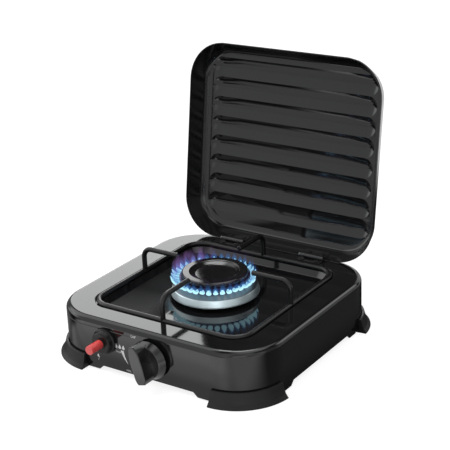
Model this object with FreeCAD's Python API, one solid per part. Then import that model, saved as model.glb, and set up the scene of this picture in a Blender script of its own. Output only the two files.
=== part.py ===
import FreeCAD, Part
import math
import os

V = FreeCAD.Vector

# Single-burner gas stove with a hinged lid, standing open on four corner feet.
# Millimetres. While modelling, X runs right along the front, Y runs back, Z runs up, and the point 0, 0, 0 is
# on the table under the middle of the base. At the end everything is moved along Y, so that the stored
# origin is the bottom centre of the whole stove with its lid open.

# well pressed into the plate: a narrow ledge all round carries the pan support, and a wall slopes from it to the floor
well_half_x = 105.6
well_half_y = 107.6
well_r = 27.0
ledge_z = 59.4
ledge_w = 5.8
wall_run = 6.6
floor_z = 53.0
lip_r = 2.2
ledge_lip_r = 1.2
floor_r = 2.2

# pressed base: a plate of these widths is left round the well
border_side = 34.4
border_front = 30.2
border_back = 28.2
corner_r = 56.0
plate_z = 62.8
edge_r = 6.5
sheet = 1.2
skirt_mid_z = 7.0
skirt_low_z = 2.0
skirt_mid_half_x = 61.0
skirt_mid_half_y = 60.0
skirt_step_run = 5.5
base_w = 2 * (well_half_x + border_side)
base_d = 2 * well_half_y + border_front + border_back
well_cy = (border_front - border_back) / 2

# pan support: a closed ring of rod with four bent fingers welded on
rod_d = 6.2
finger_d = 6.0
support_play_x = 0.9
support_play_y = 1.1
ring_half_x = well_half_x - rod_d / 2 - support_play_x
ring_half_y = well_half_y - rod_d / 2 - support_play_y
ring_r = well_r - rod_d / 2 - support_play_x
finger_z = 91.2
finger_bend_r = 11.0
finger_tip_r = 51.5
finger_chamfer = 0.8

# burner
neck_r = 20.0
neck_wall = 2.4
neck_top_z = 57.0
neck_hole_r = 20.6
flange_r = 33.0
flange_t = 3.0
tube_x = 7.5
tube_z = 33.0
tube_r = 8.0
tube_bore_r = 6.2
tube_mouth_y = -90.0
cup_bottom_z = 22.0
head_flare_r = 51.6
head_flare_z = 57.8
head_waist_r = 49.4
head_waist_z = 66.8
head_shoulder_z = 70.8
head_port_r = 41.0
head_top_z = 78.4
head_in_r = 36.4
skirt_t = 1.7
port_count = 36
port_w = 2.4
port_z = 73.4
port_h = 3.2
cap_r = 38.8
cap_t = 5.4
cap_dish_r = 28.9
cap_dish_floor_r = 22.5
cap_dish_depth = 3.2
cap_seat_clear = 0.4
burner_screw_r = 27.0

# valve, knob and igniter on the front panel
knob_x = 7.5
knob_z = 33.0
knob_r = 22.4
knob_front_r = 18.6
knob_skirt = 11.4
knob_gap = 1.2
knob_reach = 26.6
knob_tilt = 15.0
grip_stations = (24.4, 18.0, 10.0, 0.0, -8.0, -15.5, -19.4)
grip_front_half = (3.0, 5.8, 7.2, 7.3, 7.0, 6.3, 4.2)
grip_foot_half = (2.4, 6.0, 9.4, 11.2, 10.6, 8.0, 5.0)
grip_levels = 4
grip_round = 1.2
stem_r = 3.0
stem_flat = 1.6
stem_clear = 0.05
plunger_r = 2.2
knob_push = 3.0
panel_hole_r = 5.0
piezo_x = -56.0
piezo_z = 39.5
piezo_collar_r = 15.0
piezo_collar_edge_t = 3.0
piezo_collar_front_r = 12.2
piezo_collar_t = 8.8
piezo_sleeve_r = 6.7
piezo_sleeve_t = 9.8
piezo_body_r = 9.0
piezo_body_len = 46.0
button_r = 5.2
button_reach = 28.2
button_travel = 7.0
button_clear = 0.05

# gas inlet at the back
inlet_x = 64.0
inlet_z = 33.0

# lid, measured in its own plane: v runs up from the hinge edge, w runs from the rim to the back of the pressing
lid_lean = 8.6
lid_side_inset = 7.0
lid_back_inset = 10.5
lid_front_inset = 18.6
lid_above_plate = 0.9
lid_edge_y = base_d / 2 - lid_back_inset
lid_edge_z = plate_z + lid_above_plate
lid_half = base_w / 2 - lid_side_inset
lid_len = base_d - lid_back_inset - lid_front_inset
lid_corner_r = corner_r - 8.7
lid_sheet = 1.0
lid_straight = 2.0
lid_draft = 20.0
lid_depth = 26.7
lid_edge_round = 11.0
rib_count = 8
rib_start_v = 27.2
rib_end_v = 20.5
rib_side_margin = 17.6
rib_rise = 4.0
rib_pitch = (lid_len - rib_start_v - rib_end_v) / rib_count
rib_half_u = lid_half - rib_side_margin

# hinges
axis_before_lid = 2.9
axis_above_plate = 3.1
axis_y = lid_edge_y - axis_before_lid
axis_z = plate_z + axis_above_plate
hinge_x = 57.0
hinge_len = 32.0
knuckle_r = 2.95
pin_r = 1.6
pin_clear = 0.05
leaf_t = 1.0
leaf_gap = 0.35
base_knuckle = 8.0
rivet_r = 1.6
rivet_head_r = 3.0
rivet_head_t = 1.0

# feet
foot_h = 17.4
foot_flare = 10.6
foot_lip = 3.4
foot_gap = 0.3
foot_sole = 4.0
foot_in_r = 34.0
foot_side_end = 6.0
foot_front_end = 89.0
foot_end_clear = 0.6
foot_screw_len = 8.0
burner_screw_len = 7.5
lead_drop = 24.0
lead_low = 22.0

front_y = -base_d / 2
back_y = base_d / 2

solids = {}


def vertical_rect(cx, cy, hx, hy, r, z):
    """Closed wire of a rounded rectangle lying flat at height z."""
    k = r * math.sqrt(0.5)
    corners = []
    for sx, sy in ((1, -1), (1, 1), (-1, 1), (-1, -1)):
        ox = cx + sx * (hx - r)
        oy = cy + sy * (hy - r)
        a = V(ox, cy + sy * hy, z)
        m = V(ox + sx * k, oy + sy * k, z)
        b = V(cx + sx * hx, oy, z)
        if sx * sy > 0:
            a, b = b, a
        corners.append((a, m, b))
    edges = []
    for i, (a, m, b) in enumerate(corners):
        edges.append(Part.Arc(a, m, b).toShape())
        nxt = corners[(i + 1) % 4][0]
        edges.append(Part.LineSegment(b, nxt).toShape())
    return Part.Wire(edges)


def slab(cx, cy, hx, hy, r, z0, z1):
    """Upright block with rounded plan corners."""
    return Part.Face(vertical_rect(cx, cy, hx, hy, r, z0)).extrude(V(0, 0, z1 - z0))


def edges_at(shape, z, tol=0.01):
    """Edges that lie wholly at height z."""
    found = []
    for e in shape.Edges:
        b = e.BoundBox
        if abs(b.ZMin - z) < tol and abs(b.ZMax - z) < tol:
            found.append(e)
    return found


def cyl(r, h, at, axis):
    return Part.makeCylinder(r, h, at, axis)


def ring(r_out, r_in, h, at, axis):
    return cyl(r_out, h, at, axis).cut(cyl(r_in, h + 2, at - axis, axis))


def turned(points, centre=V(0, 0, 0)):
    """Solid of revolution about Z from (r, z) points."""
    pts = [V(r, 0, z) for r, z in points]
    pts.append(pts[0])
    face = Part.Face(Part.makePolygon(pts))
    s = face.revolve(V(0, 0, 0), V(0, 0, 1), 360)
    s.translate(centre)
    return s


def pipe(points, r, bend):
    """Round rod along a polyline whose corners are bent to a radius."""
    edges = []
    last = points[0]
    for i in range(1, len(points) - 1):
        p, q, s = points[i - 1], points[i], points[i + 1]
        d0 = (p - q).normalize()
        d1 = (s - q).normalize()
        half = d0.getAngle(d1) / 2
        run = bend / math.tan(half)
        a = q + d0 * run
        b = q + d1 * run
        mid_dir = (d0 + d1).normalize()
        m = q + mid_dir * (bend / math.sin(half) - bend)
        edges.append(Part.LineSegment(last, a).toShape())
        edges.append(Part.Arc(a, m, b).toShape())
        last = b
    edges.append(Part.LineSegment(last, points[-1]).toShape())
    path = Part.Wire(edges)
    start = points[0]
    way = (points[1] - points[0]).normalize()
    section = Part.Wire(Part.makeCircle(r, start, way))
    return path.makePipeShell([section], True, False)


def fuse_all(parts):
    whole = parts[0].multiFuse(parts[1:])
    return whole.removeSplitter()


# base shell
outer = slab(0, 0, base_w / 2, base_d / 2, corner_r, skirt_low_z, plate_z)
outer = outer.makeFillet(edge_r, edges_at(outer, plate_z))
inner = slab(0, 0, base_w / 2 - sheet, base_d / 2 - sheet, corner_r - sheet, skirt_low_z - 1, plate_z - sheet)
inner = inner.makeFillet(edge_r - sheet, edges_at(inner, plate_z - sheet))
shell = outer.cut(inner)

low_half_x = well_half_x - ledge_w
low_half_y = well_half_y - ledge_w
low_r = well_r - ledge_w
tray_up = slab(0, well_cy, well_half_x + sheet, well_half_y + sheet, well_r + sheet, ledge_z - sheet, plate_z - 0.2)
wall_slope = wall_run / (ledge_z - floor_z)
wall_side = sheet * math.hypot(1, wall_slope)


def sloped_tray(grow, z0, z1):
    """The space inside the sloping wall from z0 to z1, grown sideways."""
    rects = []
    for z in (z0, z1):
        inward = (ledge_z - z) * wall_slope - grow
        rects.append(vertical_rect(0, well_cy, low_half_x - inward, low_half_y - inward, low_r - inward, z))
    return Part.makeLoft(rects, True, True)


tray_low = sloped_tray(wall_side, floor_z - sheet, ledge_z)
hollow_up = slab(0, well_cy, well_half_x, well_half_y, well_r, ledge_z, plate_z + 5)
hollow_low = sloped_tray(0, floor_z, ledge_z + 1)
hollow_low = hollow_low.makeFillet(floor_r, edges_at(hollow_low, floor_z))
shell = fuse_all([shell, tray_up, tray_low])
shell = shell.cut(hollow_up).cut(hollow_low)


def near_well(e, hx, hy):
    b = e.BoundBox
    return max(abs(b.XMin), abs(b.XMax)) <= hx + 0.01 and max(abs(b.YMin - well_cy), abs(b.YMax - well_cy)) <= hy + 0.01


lip = [e for e in edges_at(shell, plate_z) if near_well(e, well_half_x, well_half_y)]
shell = shell.makeFillet(lip_r, lip)
ledge = [e for e in edges_at(shell, ledge_z) if near_well(e, low_half_x, low_half_y)]
shell = shell.makeFillet(ledge_lip_r, ledge)

# skirt raised between the feet, with a short slope at each end of the raised stretch
run = skirt_step_run
rise = skirt_mid_z
for half, span, turn in ((skirt_mid_half_x, base_d, 0), (skirt_mid_half_y, base_w, 90)):
    pts = [
        V(-half - run, -span, skirt_low_z - 2),
        V(-half - run, -span, skirt_low_z),
        V(-half, -span, rise),
        V(half, -span, rise),
        V(half + run, -span, skirt_low_z),
        V(half + run, -span, skirt_low_z - 2),
    ]
    pts.append(pts[0])
    cutter = Part.Face(Part.makePolygon(pts)).extrude(V(0, 2 * span, 0))
    cutter.rotate(V(0, 0, 0), V(0, 0, 1), turn)
    shell = shell.cut(cutter)

# pressed corner tabs inside the skirt, over the soles of the feet
foot_cx = base_w / 2 - corner_r
foot_cy = base_d / 2 - corner_r
tab_screw_r = 45.0
for sx in (-1, 1):
    for sy in (-1, 1):
        at = V(sx * foot_cx, sy * foot_cy, foot_sole)
        low = V(sx * foot_cx, sy * foot_cy, skirt_low_z - 1)
        square = Part.makeBox(90, 90, 90)
        square.rotate(V(0, 0, 0), V(0, 0, 1), {(1, 1): 0, (-1, 1): 90, (-1, -1): 180, (1, -1): 270}[(sx, sy)])
        keep = square.copy()
        keep.translate(V(at.x, at.y, 0))
        trim = cyl(corner_r + 2, foot_sole - low.z, low, V(0, 0, 1)).common(keep)
        trim = trim.fuse(Part.makeBox(2, 2 * foot_end_clear, foot_sole - low.z,
                                      V(low.x + sx * (corner_r - 1) - 1, low.y - foot_end_clear, low.z)))
        trim = trim.fuse(Part.makeBox(2 * foot_end_clear, 2, foot_sole - low.z,
                                      V(low.x - foot_end_clear, low.y + sy * (corner_r - 1) - 1, low.z)))
        shell = shell.cut(trim)
        tab = ring(corner_r - sheet / 2, tab_screw_r - 7, sheet, at, V(0, 0, 1)).common(keep)
        shell = shell.fuse(tab)
        a = math.radians(45)
        hole_at = V(at.x + sx * tab_screw_r * math.cos(a), at.y + sy * tab_screw_r * math.sin(a), foot_sole - 1)
        shell = shell.cut(cyl(1.5, 5, hole_at, V(0, 0, 1)))

# holes in the plate and skirt
shell = shell.cut(cyl(neck_hole_r, 10, V(0, 0, floor_z - 5), V(0, 0, 1)))
shell = shell.cut(cyl(panel_hole_r, 10, V(knob_x, front_y - 5, knob_z), V(0, 1, 0)))
shell = shell.cut(cyl(piezo_sleeve_r, 10, V(piezo_x, front_y - 5, piezo_z), V(0, 1, 0)))
inlet_thread_r = 5.0
shell = shell.cut(cyl(inlet_thread_r + 0.1, 10, V(inlet_x, back_y - 5, inlet_z), V(0, 1, 0)))
electrode_a = math.radians(124.5)
electrode_r = 57.0
electrode_at = V(electrode_r * math.cos(electrode_a), electrode_r * math.sin(electrode_a), 0)
ceramic_r = 2.6
shell = shell.cut(cyl(ceramic_r + 0.05, 10, V(electrode_at.x, electrode_at.y, floor_z - 5), V(0, 0, 1)))
for sx in (-1, 1):
    shell = shell.cut(cyl(2.0, 10, V(sx * burner_screw_r, 0, floor_z - 5), V(0, 0, 1)))
solids["base_shell"] = shell.removeSplitter()

# feet: a flared quarter ring round each corner, with a sole under the skirt
foot_profile = [
    (corner_r + foot_gap, foot_sole),
    (corner_r + foot_gap, foot_h - 0.6),
    (corner_r + foot_gap + 0.6, foot_h),
    (corner_r + foot_lip - 0.8, foot_h),
    (corner_r + foot_lip, foot_h - 0.9),
    (corner_r + foot_lip + 1.6, foot_h * 0.62),
    (corner_r + foot_lip + 3.6, foot_h * 0.3),
    (corner_r + foot_flare, 1.0),
    (corner_r + foot_flare - 0.8, 0.0),
    (foot_in_r, 0.0),
    (foot_in_r, foot_sole),
]
foot_names = {(1, -1): "foot_front_right", (1, 1): "foot_rear_right", (-1, 1): "foot_rear_left", (-1, -1): "foot_front_left"}
foot_start = {(1, 1): 0, (-1, 1): 90, (-1, -1): 180, (1, -1): 270}
screw_head_r = 3.4
screw_list = []
for (sx, sy), name in foot_names.items():
    pts = [V(r, 0, z) for r, z in foot_profile]
    pts.append(pts[0])
    face = Part.Face(Part.makePolygon(pts))
    first_end = foot_side_end if sx * sy > 0 else 90 - foot_front_end
    face.rotate(V(0, 0, 0), V(0, 0, 1), foot_start[(sx, sy)] + first_end)
    foot = face.revolve(V(0, 0, 0), V(0, 0, 1), foot_front_end - foot_side_end)
    foot.translate(V(sx * foot_cx, sy * foot_cy, 0))
    a = math.radians(45)
    hole_at = V(sx * (foot_cx + tab_screw_r * math.cos(a)), sy * (foot_cy + tab_screw_r * math.sin(a)), 0)
    foot = foot.cut(cyl(1.8, 20, hole_at - V(0, 0, 1), V(0, 0, 1)))
    foot = foot.cut(cyl(screw_head_r + 0.3, 3.0, hole_at - V(0, 0, 1), V(0, 0, 1)))
    solids[name] = foot
    head = cyl(screw_head_r, 1.6, hole_at + V(0, 0, 0.4), V(0, 0, 1))
    shank = cyl(1.5, foot_screw_len, hole_at + V(0, 0, 1.9), V(0, 0, 1))
    screw_list.append(head.fuse(shank).removeSplitter())
solids["foot_screws"] = Part.makeCompound(screw_list)

# pan support
def bent_rod(points, r, bend):
    """Straight runs and bends of one round rod along a polyline, as separate solids that meet end to end."""
    runs = []
    last = points[0]
    for i in range(1, len(points) - 1):
        p, q, s = points[i - 1], points[i], points[i + 1]
        d_in = (q - p).normalize()
        d_out = (s - q).normalize()
        half = (p - q).getAngle(s - q) / 2
        back = bend / math.tan(half)
        a = q - d_in * back
        centre = q + (d_out - d_in).normalize() * (bend / math.sin(half))
        runs.append(cyl(r, (a - last).Length, last, d_in))
        section = Part.Face(Part.Wire(Part.makeCircle(r, a, d_in)))
        runs.append(section.revolve(centre, d_in.cross(d_out), 180 - 2 * math.degrees(half)))
        last = q + d_out * back
    way = (points[-1] - last).normalize()
    runs.append(cyl(r, (points[-1] - last).Length, last, way))
    return runs


rod_r = rod_d / 2
finger_r = finger_d / 2
ring_z = ledge_z + rod_r
corners = [
    V(0, well_cy - ring_half_y, ring_z),
    V(ring_half_x, well_cy - ring_half_y, ring_z),
    V(ring_half_x, well_cy + ring_half_y, ring_z),
    V(-ring_half_x, well_cy + ring_half_y, ring_z),
    V(-ring_half_x, well_cy - ring_half_y, ring_z),
    V(0, well_cy - ring_half_y, ring_z),
]
support = fuse_all(bent_rod(corners, rod_r, ring_r))
legs = (
    (V(-ring_half_x, 0, 0), V(1, 0, 0)),
    (V(ring_half_x, 0, 0), V(-1, 0, 0)),
    (V(0, well_cy - ring_half_y, 0), V(0, 1, 0)),
    (V(0, well_cy + ring_half_y, 0), V(0, -1, 0)),
)
for foot_at, inward in legs:
    low = foot_at + V(0, 0, ring_z)
    top = foot_at + V(0, 0, finger_z)
    reach = foot_at.Length - finger_tip_r
    tip = top + inward * reach
    runs = bent_rod([low, top, tip], finger_r, finger_bend_r)
    end = [e for e in runs[-1].Edges if e.Length > 2 * finger_r and (e.CenterOfMass - tip).Length < 0.01]
    runs[-1] = runs[-1].makeChamfer(finger_chamfer, end)
    support = support.fuse(fuse_all(runs))
solids["pan_support"] = support.removeSplitter()

# burner base casting: flange under the floor, neck through it, mixing tube to the valve
floor_under = floor_z - sheet
cup = turned([
    (0, cup_bottom_z),
    (neck_r - 3, cup_bottom_z),
    (neck_r, cup_bottom_z + 3),
    (neck_r, floor_under - flange_t),
    (flange_r, floor_under - flange_t),
    (flange_r, floor_under),
    (neck_r, floor_under),
    (neck_r, neck_top_z),
    (0, neck_top_z),
])
tube_end_y = -8.0
tube = cyl(tube_r, tube_end_y - tube_mouth_y, V(tube_x, tube_mouth_y, tube_z), V(0, 1, 0))
mouth = Part.makeCone(tube_r + 3.5, tube_r, 12, V(tube_x, tube_mouth_y, tube_z), V(0, 1, 0))
cast = fuse_all([cup, tube, mouth])
chamber = cyl(neck_r - neck_wall, neck_top_z - cup_bottom_z - neck_wall + 1, V(0, 0, cup_bottom_z + neck_wall), V(0, 0, 1))
bore = cyl(tube_bore_r, tube_end_y - tube_mouth_y + 1, V(tube_x, tube_mouth_y - 1, tube_z), V(0, 1, 0))
flare = Part.makeCone(tube_bore_r + 3.5, tube_bore_r, 12, V(tube_x, tube_mouth_y, tube_z), V(0, 1, 0))
cast = cast.cut(chamber).cut(bore).cut(flare)
for sx in (-1, 1):
    cast = cast.cut(cyl(1.6, 12, V(sx * burner_screw_r, 0, floor_under - 8), V(0, 0, 1)))
solids["burner_base"] = cast.removeSplitter()

screws = []
for sx in (-1, 1):
    head = cyl(3.6, 1.8, V(sx * burner_screw_r, 0, floor_z), V(0, 0, 1))
    shank = cyl(1.6, burner_screw_len, V(sx * burner_screw_r, 0, floor_z + 0.1 - burner_screw_len), V(0, 0, 1))
    screws.append(head.fuse(shank).removeSplitter())
solids["burner_screws"] = Part.makeCompound(screws)

# burner head: spigot inside the neck, bowl, flared skirt, ring of ports
spigot_r = neck_r - neck_wall - 0.05
head = turned([
    (spigot_r - 2.2, neck_top_z - 9),
    (spigot_r, neck_top_z - 9),
    (spigot_r, neck_top_z),
    (head_in_r - 2.0, neck_top_z),
    (head_in_r + 2.2, neck_top_z + 3.0),
    (head_in_r + 2.2, head_shoulder_z - 2.0),
    (head_port_r + 0.4, head_shoulder_z - 2.4),
    (head_waist_r - 2.2, head_waist_z - 1.4),
    (head_flare_r - skirt_t - 0.6, head_flare_z + 0.4),
    (head_flare_r - 1.0, head_flare_z),
    (head_flare_r, head_flare_z + 0.6),
    (head_flare_r - 0.2, head_flare_z + 1.8),
    (head_waist_r, head_waist_z - 0.6),
    (head_waist_r - 0.8, head_waist_z + 0.4),
    (head_port_r + 0.4, head_shoulder_z),
    (head_port_r, head_top_z),
    (head_in_r, head_top_z),
    (head_in_r, neck_top_z + 4.2),
    (head_in_r - 3.0, neck_top_z + 2.2),
    (spigot_r - 2.2, neck_top_z + 2.2),
])
for i in range(port_count):
    slot = Part.makeBox(12, port_w, port_h, V(head_in_r - 3, -port_w / 2, port_z))
    slot.rotate(V(0, 0, 0), V(0, 0, 1), (i + 0.5) * 360.0 / port_count)
    head = head.cut(slot)
solids["burner_head"] = head.removeSplitter()

cap_z = head_top_z
cap_top = cap_z + cap_t
cap = turned([
    (0, cap_z),
    (head_in_r - cap_seat_clear - 2.4, cap_z),
    (head_in_r - cap_seat_clear - 2.4, cap_z - 3.0),
    (head_in_r - cap_seat_clear, cap_z - 3.0),
    (head_in_r - cap_seat_clear, cap_z),
    (cap_r - 0.8, cap_z),
    (cap_r, cap_z + 0.8),
    (cap_r, cap_top - 2.0),
    (cap_r - 0.6, cap_top - 0.6),
    (cap_r - 2.0, cap_top),
    (cap_dish_r + 1.0, cap_top),
    (cap_dish_r, cap_top - 0.4),
    (cap_dish_r - 0.6, cap_top - 1.2),
    (cap_dish_floor_r + 1.8, cap_top - cap_dish_depth + 0.5),
    (cap_dish_floor_r, cap_top - cap_dish_depth),
    (0, cap_top - cap_dish_depth),
])
solids["burner_cap"] = cap

# valve behind the front panel, aimed at the mouth of the mixing tube
panel_in = front_y + sheet
valve_len = 30.0
valve_half = 8.5
bracket_t = 1.6
valve_y0 = panel_in + bracket_t
body = Part.makeBox(2 * valve_half, valve_len, 2 * valve_half, V(knob_x - valve_half, valve_y0, knob_z - valve_half))
body = body.makeFillet(2.0, [e for e in body.Edges if abs(e.BoundBox.YLength - valve_len) < 0.01])
stem_in = 10.0
body = body.cut(cyl(stem_r + stem_clear, stem_in + 1, V(knob_x, valve_y0 - 1, knob_z), V(0, 1, 0)))
body = body.cut(cyl(plunger_r + stem_clear, stem_in + 14, V(knob_x, valve_y0 - 1, knob_z), V(0, 1, 0)))
injector_len = 9.0
body = body.cut(cyl(2.5, 4.0, V(knob_x, valve_y0 + valve_len - 4.0, knob_z), V(0, 1, 0)))
arm_y = valve_y0 + 15.0
arm_len = 8.0
arm = cyl(5.0, arm_len + 1, V(knob_x + valve_half - 1, arm_y, knob_z), V(1, 0, 0))
body = body.fuse(arm)
pipe_r = 3.0
pipe_in = 6.0
body = body.cut(cyl(pipe_r, pipe_in + 1, V(knob_x + valve_half + arm_len + 1, arm_y, knob_z), V(-1, 0, 0)))
solids["valve_body"] = body.removeSplitter()

jet_y = valve_y0 + valve_len
jet = cyl(2.5, 4.0, V(knob_x, jet_y - 4.0, knob_z), V(0, 1, 0))
jet = jet.fuse(cyl(4.0, injector_len - 3.0, V(knob_x, jet_y, knob_z), V(0, 1, 0)))
jet = jet.fuse(Part.makeCone(4.0, 1.6, 3.0, V(knob_x, jet_y + injector_len - 3.0, knob_z), V(0, 1, 0)))
jet = jet.cut(cyl(0.6, 30, V(knob_x, jet_y - 5, knob_z), V(0, 1, 0)))
solids["injector"] = jet.removeSplitter()

bracket_half = 24.0
bracket = Part.makeBox(2 * bracket_half, bracket_t, 18, V(knob_x - bracket_half, panel_in, knob_z - 9))
bracket = bracket.cut(cyl(stem_r + 0.6, 10, V(knob_x, panel_in - 2, knob_z), V(0, 1, 0)))
bracket_screws = []
for sx in (-1, 1):
    hole = V(knob_x + sx * 18.0, panel_in - 2, knob_z)
    bracket = bracket.cut(cyl(1.5, 10, hole, V(0, 1, 0)))
    rivet = cyl(1.5, bracket_t, hole + V(0, 2, 0), V(0, 1, 0))
    rivet = rivet.fuse(cyl(2.8, 1.2, hole + V(0, 2 + bracket_t, 0), V(0, 1, 0)))
    bracket_screws.append(rivet.removeSplitter())
solids["valve_bracket"] = bracket
solids["bracket_rivets"] = Part.makeCompound(bracket_screws)

# plunger and stem: pressed in together, the stem and the knob turn on the plunger
knob_back = front_y - knob_gap - knob_push
stem_out = 12.0
stem = cyl(stem_r, valve_y0 + stem_in - knob_push - (knob_back - stem_out), V(knob_x, knob_back - stem_out, knob_z), V(0, 1, 0))
flat = Part.makeBox(10, stem_out, 4, V(knob_x - 5, knob_back - stem_out, knob_z + stem_flat))
stem = stem.cut(flat)
pin_socket = 6.0
stem_end = valve_y0 + stem_in - knob_push
stem = stem.cut(cyl(1.2 + stem_clear, pin_socket, V(knob_x, stem_end - pin_socket, knob_z), V(0, 1, 0)))
solids["valve_stem"] = stem
plunger = cyl(1.2, pin_socket, V(knob_x, stem_end - pin_socket, knob_z), V(0, 1, 0))
plunger = plunger.fuse(cyl(plunger_r, 8.0, V(knob_x, stem_end, knob_z), V(0, 1, 0)))
solids["valve_plunger"] = plunger.removeSplitter()

# knob: tapered round skirt with a tall grip across it, whose sides are scooped out
skirt_len = knob_skirt - knob_gap - knob_push
skirt = Part.makeCone(knob_r, knob_front_r, skirt_len, V(0, 0, 0), V(0, -1, 0))
skirt = skirt.makeFillet(1.2, [e for e in skirt.Edges if e.BoundBox.YMax < -1 and e.Length > 10 and e.BoundBox.YLength < 0.01])
grip_len = knob_reach - knob_gap - knob_push


def grip_outline(level):
    """Closed outline of the grip, from level 0 at its front face to 1 at its foot inside the skirt."""
    y = -grip_len + level * (grip_len - skirt_len / 2)
    share = level * level
    halves = [f + (b - f) * share for f, b in zip(grip_front_half, grip_foot_half)]
    right = [V(h, y, z) for h, z in zip(halves, grip_stations)]
    left = [V(-h, y, z) for h, z in zip(halves, grip_stations)]
    left.reverse()
    side_r = Part.BSplineCurve()
    side_r.interpolate(right)
    side_l = Part.BSplineCurve()
    side_l.interpolate(left)
    return Part.Wire([
        side_r.toShape(),
        Part.LineSegment(right[-1], left[0]).toShape(),
        side_l.toShape(),
        Part.LineSegment(left[-1], right[0]).toShape(),
    ])


loft = Part.makeLoft([grip_outline(i / (grip_levels - 1)) for i in range(grip_levels)], True, False)
loft = loft.makeFillet(grip_round, [e for e in loft.Edges if e.BoundBox.YMax < -grip_len + 0.01])
knob = fuse_all([skirt, loft])
knob = knob.cut(cyl(stem_r + 0.03, stem_out + 0.2, V(0, 0.1, 0), V(0, -1, 0)).cut(
    Part.makeBox(10, stem_out + 2, 4, V(-5, -stem_out - 1, stem_flat + 0.03))))
knob.rotate(V(0, 0, 0), V(0, 1, 0), -knob_tilt)
knob.translate(V(knob_x, knob_back, knob_z))
solids["knob"] = knob
stem_turn = solids["valve_stem"]
stem_turn.rotate(V(knob_x, 0, knob_z), V(0, 1, 0), -knob_tilt)

# piezo igniter: body inside, stepped collar outside, long push button
collar = turned([
    (piezo_sleeve_r, 0),
    (piezo_collar_r, 0),
    (piezo_collar_r, piezo_collar_edge_t - 0.8),
    (piezo_collar_r - 0.8, piezo_collar_edge_t),
    (piezo_collar_front_r + 1.4, piezo_collar_edge_t + 0.6),
    (piezo_collar_front_r, piezo_collar_t - 1.2),
    (piezo_collar_front_r - 1.2, piezo_collar_t),
    (piezo_sleeve_r, piezo_collar_t),
])
collar.rotate(V(0, 0, 0), V(1, 0, 0), 90)
collar.translate(V(piezo_x, front_y, piezo_z))
solids["piezo_collar"] = collar
sleeve_in = button_r + button_clear
boss = ring(piezo_sleeve_r, sleeve_in, piezo_sleeve_t + sheet, V(piezo_x, front_y + sheet, piezo_z), V(0, -1, 0))
can = cyl(piezo_body_r, piezo_body_len, V(piezo_x, front_y + sheet, piezo_z), V(0, 1, 0))
can = can.cut(cyl(sleeve_in, button_travel + 6.0, V(piezo_x, front_y + sheet - 1, piezo_z), V(0, 1, 0)))
solids["piezo_body"] = boss.fuse(can).removeSplitter()
button_in = 4.0
button = cyl(button_r, button_reach + button_in, V(piezo_x, front_y + button_in, piezo_z), V(0, -1, 0))
button = button.makeFillet(0.8, [e for e in button.Edges if e.BoundBox.YMax < front_y - 10 and e.BoundBox.YLength < 0.01])
solids["piezo_button"] = button

# electrode beside the burner, and the lead that feeds it
ceramic = cyl(ceramic_r, 26.0, V(electrode_at.x, electrode_at.y, floor_z - 16.0), V(0, 0, 1))
ceramic = ceramic.fuse(cyl(ceramic_r + 1.6, 3.0, V(electrode_at.x, electrode_at.y, floor_z), V(0, 0, 1)))
pin_w = 0.9
ceramic = ceramic.cut(cyl(pin_w, 40, V(electrode_at.x, electrode_at.y, floor_z - 20), V(0, 0, 1)))
solids["electrode_ceramic"] = ceramic.removeSplitter()
spark = V(-math.cos(electrode_a), -math.sin(electrode_a), 0)
pin_top = electrode_at + V(0, 0, 72.0)
solids["electrode_pin"] = pipe([electrode_at + V(0, 0, floor_z - 20.0), pin_top, pin_top + spark * 8.0], pin_w, 2.0)
lead_r = 1.5
lead_from = V(piezo_x, front_y + sheet + piezo_body_len, piezo_z)
lead_to = electrode_at + V(0, 0, floor_z - 20.0)
lead = pipe([
    lead_from,
    lead_from + V(0, 30, 0),
    V(lead_to.x, lead_to.y - 40, lead_drop),
    V(lead_to.x, lead_to.y, lead_low),
    lead_to,
], lead_r, 7.0)
solids["ignition_lead"] = lead

# inlet fitting through the rear skirt and the pipe to the valve
fit_y = back_y - sheet
hex_pts = []
for i in range(7):
    a = math.radians(60 * i)
    hex_pts.append(V(inlet_x + 8.0 * math.cos(a), back_y, inlet_z + 8.0 * math.sin(a)))
hexagon = Part.Face(Part.makePolygon(hex_pts)).extrude(V(0, 5, 0))
tail = cyl(4.0, 20, V(inlet_x, back_y + 4, inlet_z), V(0, 1, 0))
barbs = []
for i in range(3):
    barbs.append(Part.makeCone(5.0, 4.0, 4.0, V(inlet_x, back_y + 10.5 + 4.4 * i, inlet_z), V(0, 1, 0)))
inner_part = cyl(inlet_thread_r, 14, V(inlet_x, fit_y - 12.8, inlet_z), V(0, 1, 0))
inlet = fuse_all([hexagon, tail, inner_part] + barbs)
inlet = inlet.cut(cyl(2.6, 40, V(inlet_x, back_y - 3, inlet_z), V(0, 1, 0)))
inlet = inlet.cut(cyl(pipe_r, 10, V(inlet_x, fit_y - 14, inlet_z), V(0, 1, 0)))
solids["inlet_fitting"] = inlet.removeSplitter()
nut_pts = []
for i in range(7):
    a = math.radians(60 * i + 30)
    nut_pts.append(V(inlet_x + 8.5 * math.cos(a), fit_y, inlet_z + 8.5 * math.sin(a)))
nut = Part.Face(Part.makePolygon(nut_pts)).extrude(V(0, -4, 0))
nut = nut.cut(cyl(inlet_thread_r, 10, V(inlet_x, fit_y + 1, inlet_z), V(0, -1, 0)))
solids["inlet_nut"] = nut
pipe_start = V(inlet_x, fit_y - 4.2, inlet_z)
pipe_stop = V(knob_x + valve_half + arm_len - pipe_in + 1, arm_y, knob_z)
solids["gas_pipe"] = pipe([pipe_start, V(inlet_x, arm_y, inlet_z), pipe_stop], pipe_r, 14.0)

# lid, pressed in its own frame (x across, y up from the hinge edge, z from rim to back) and then stood up
mid_v = lid_len / 2
tan_draft = math.tan(math.radians(lid_draft))


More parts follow.
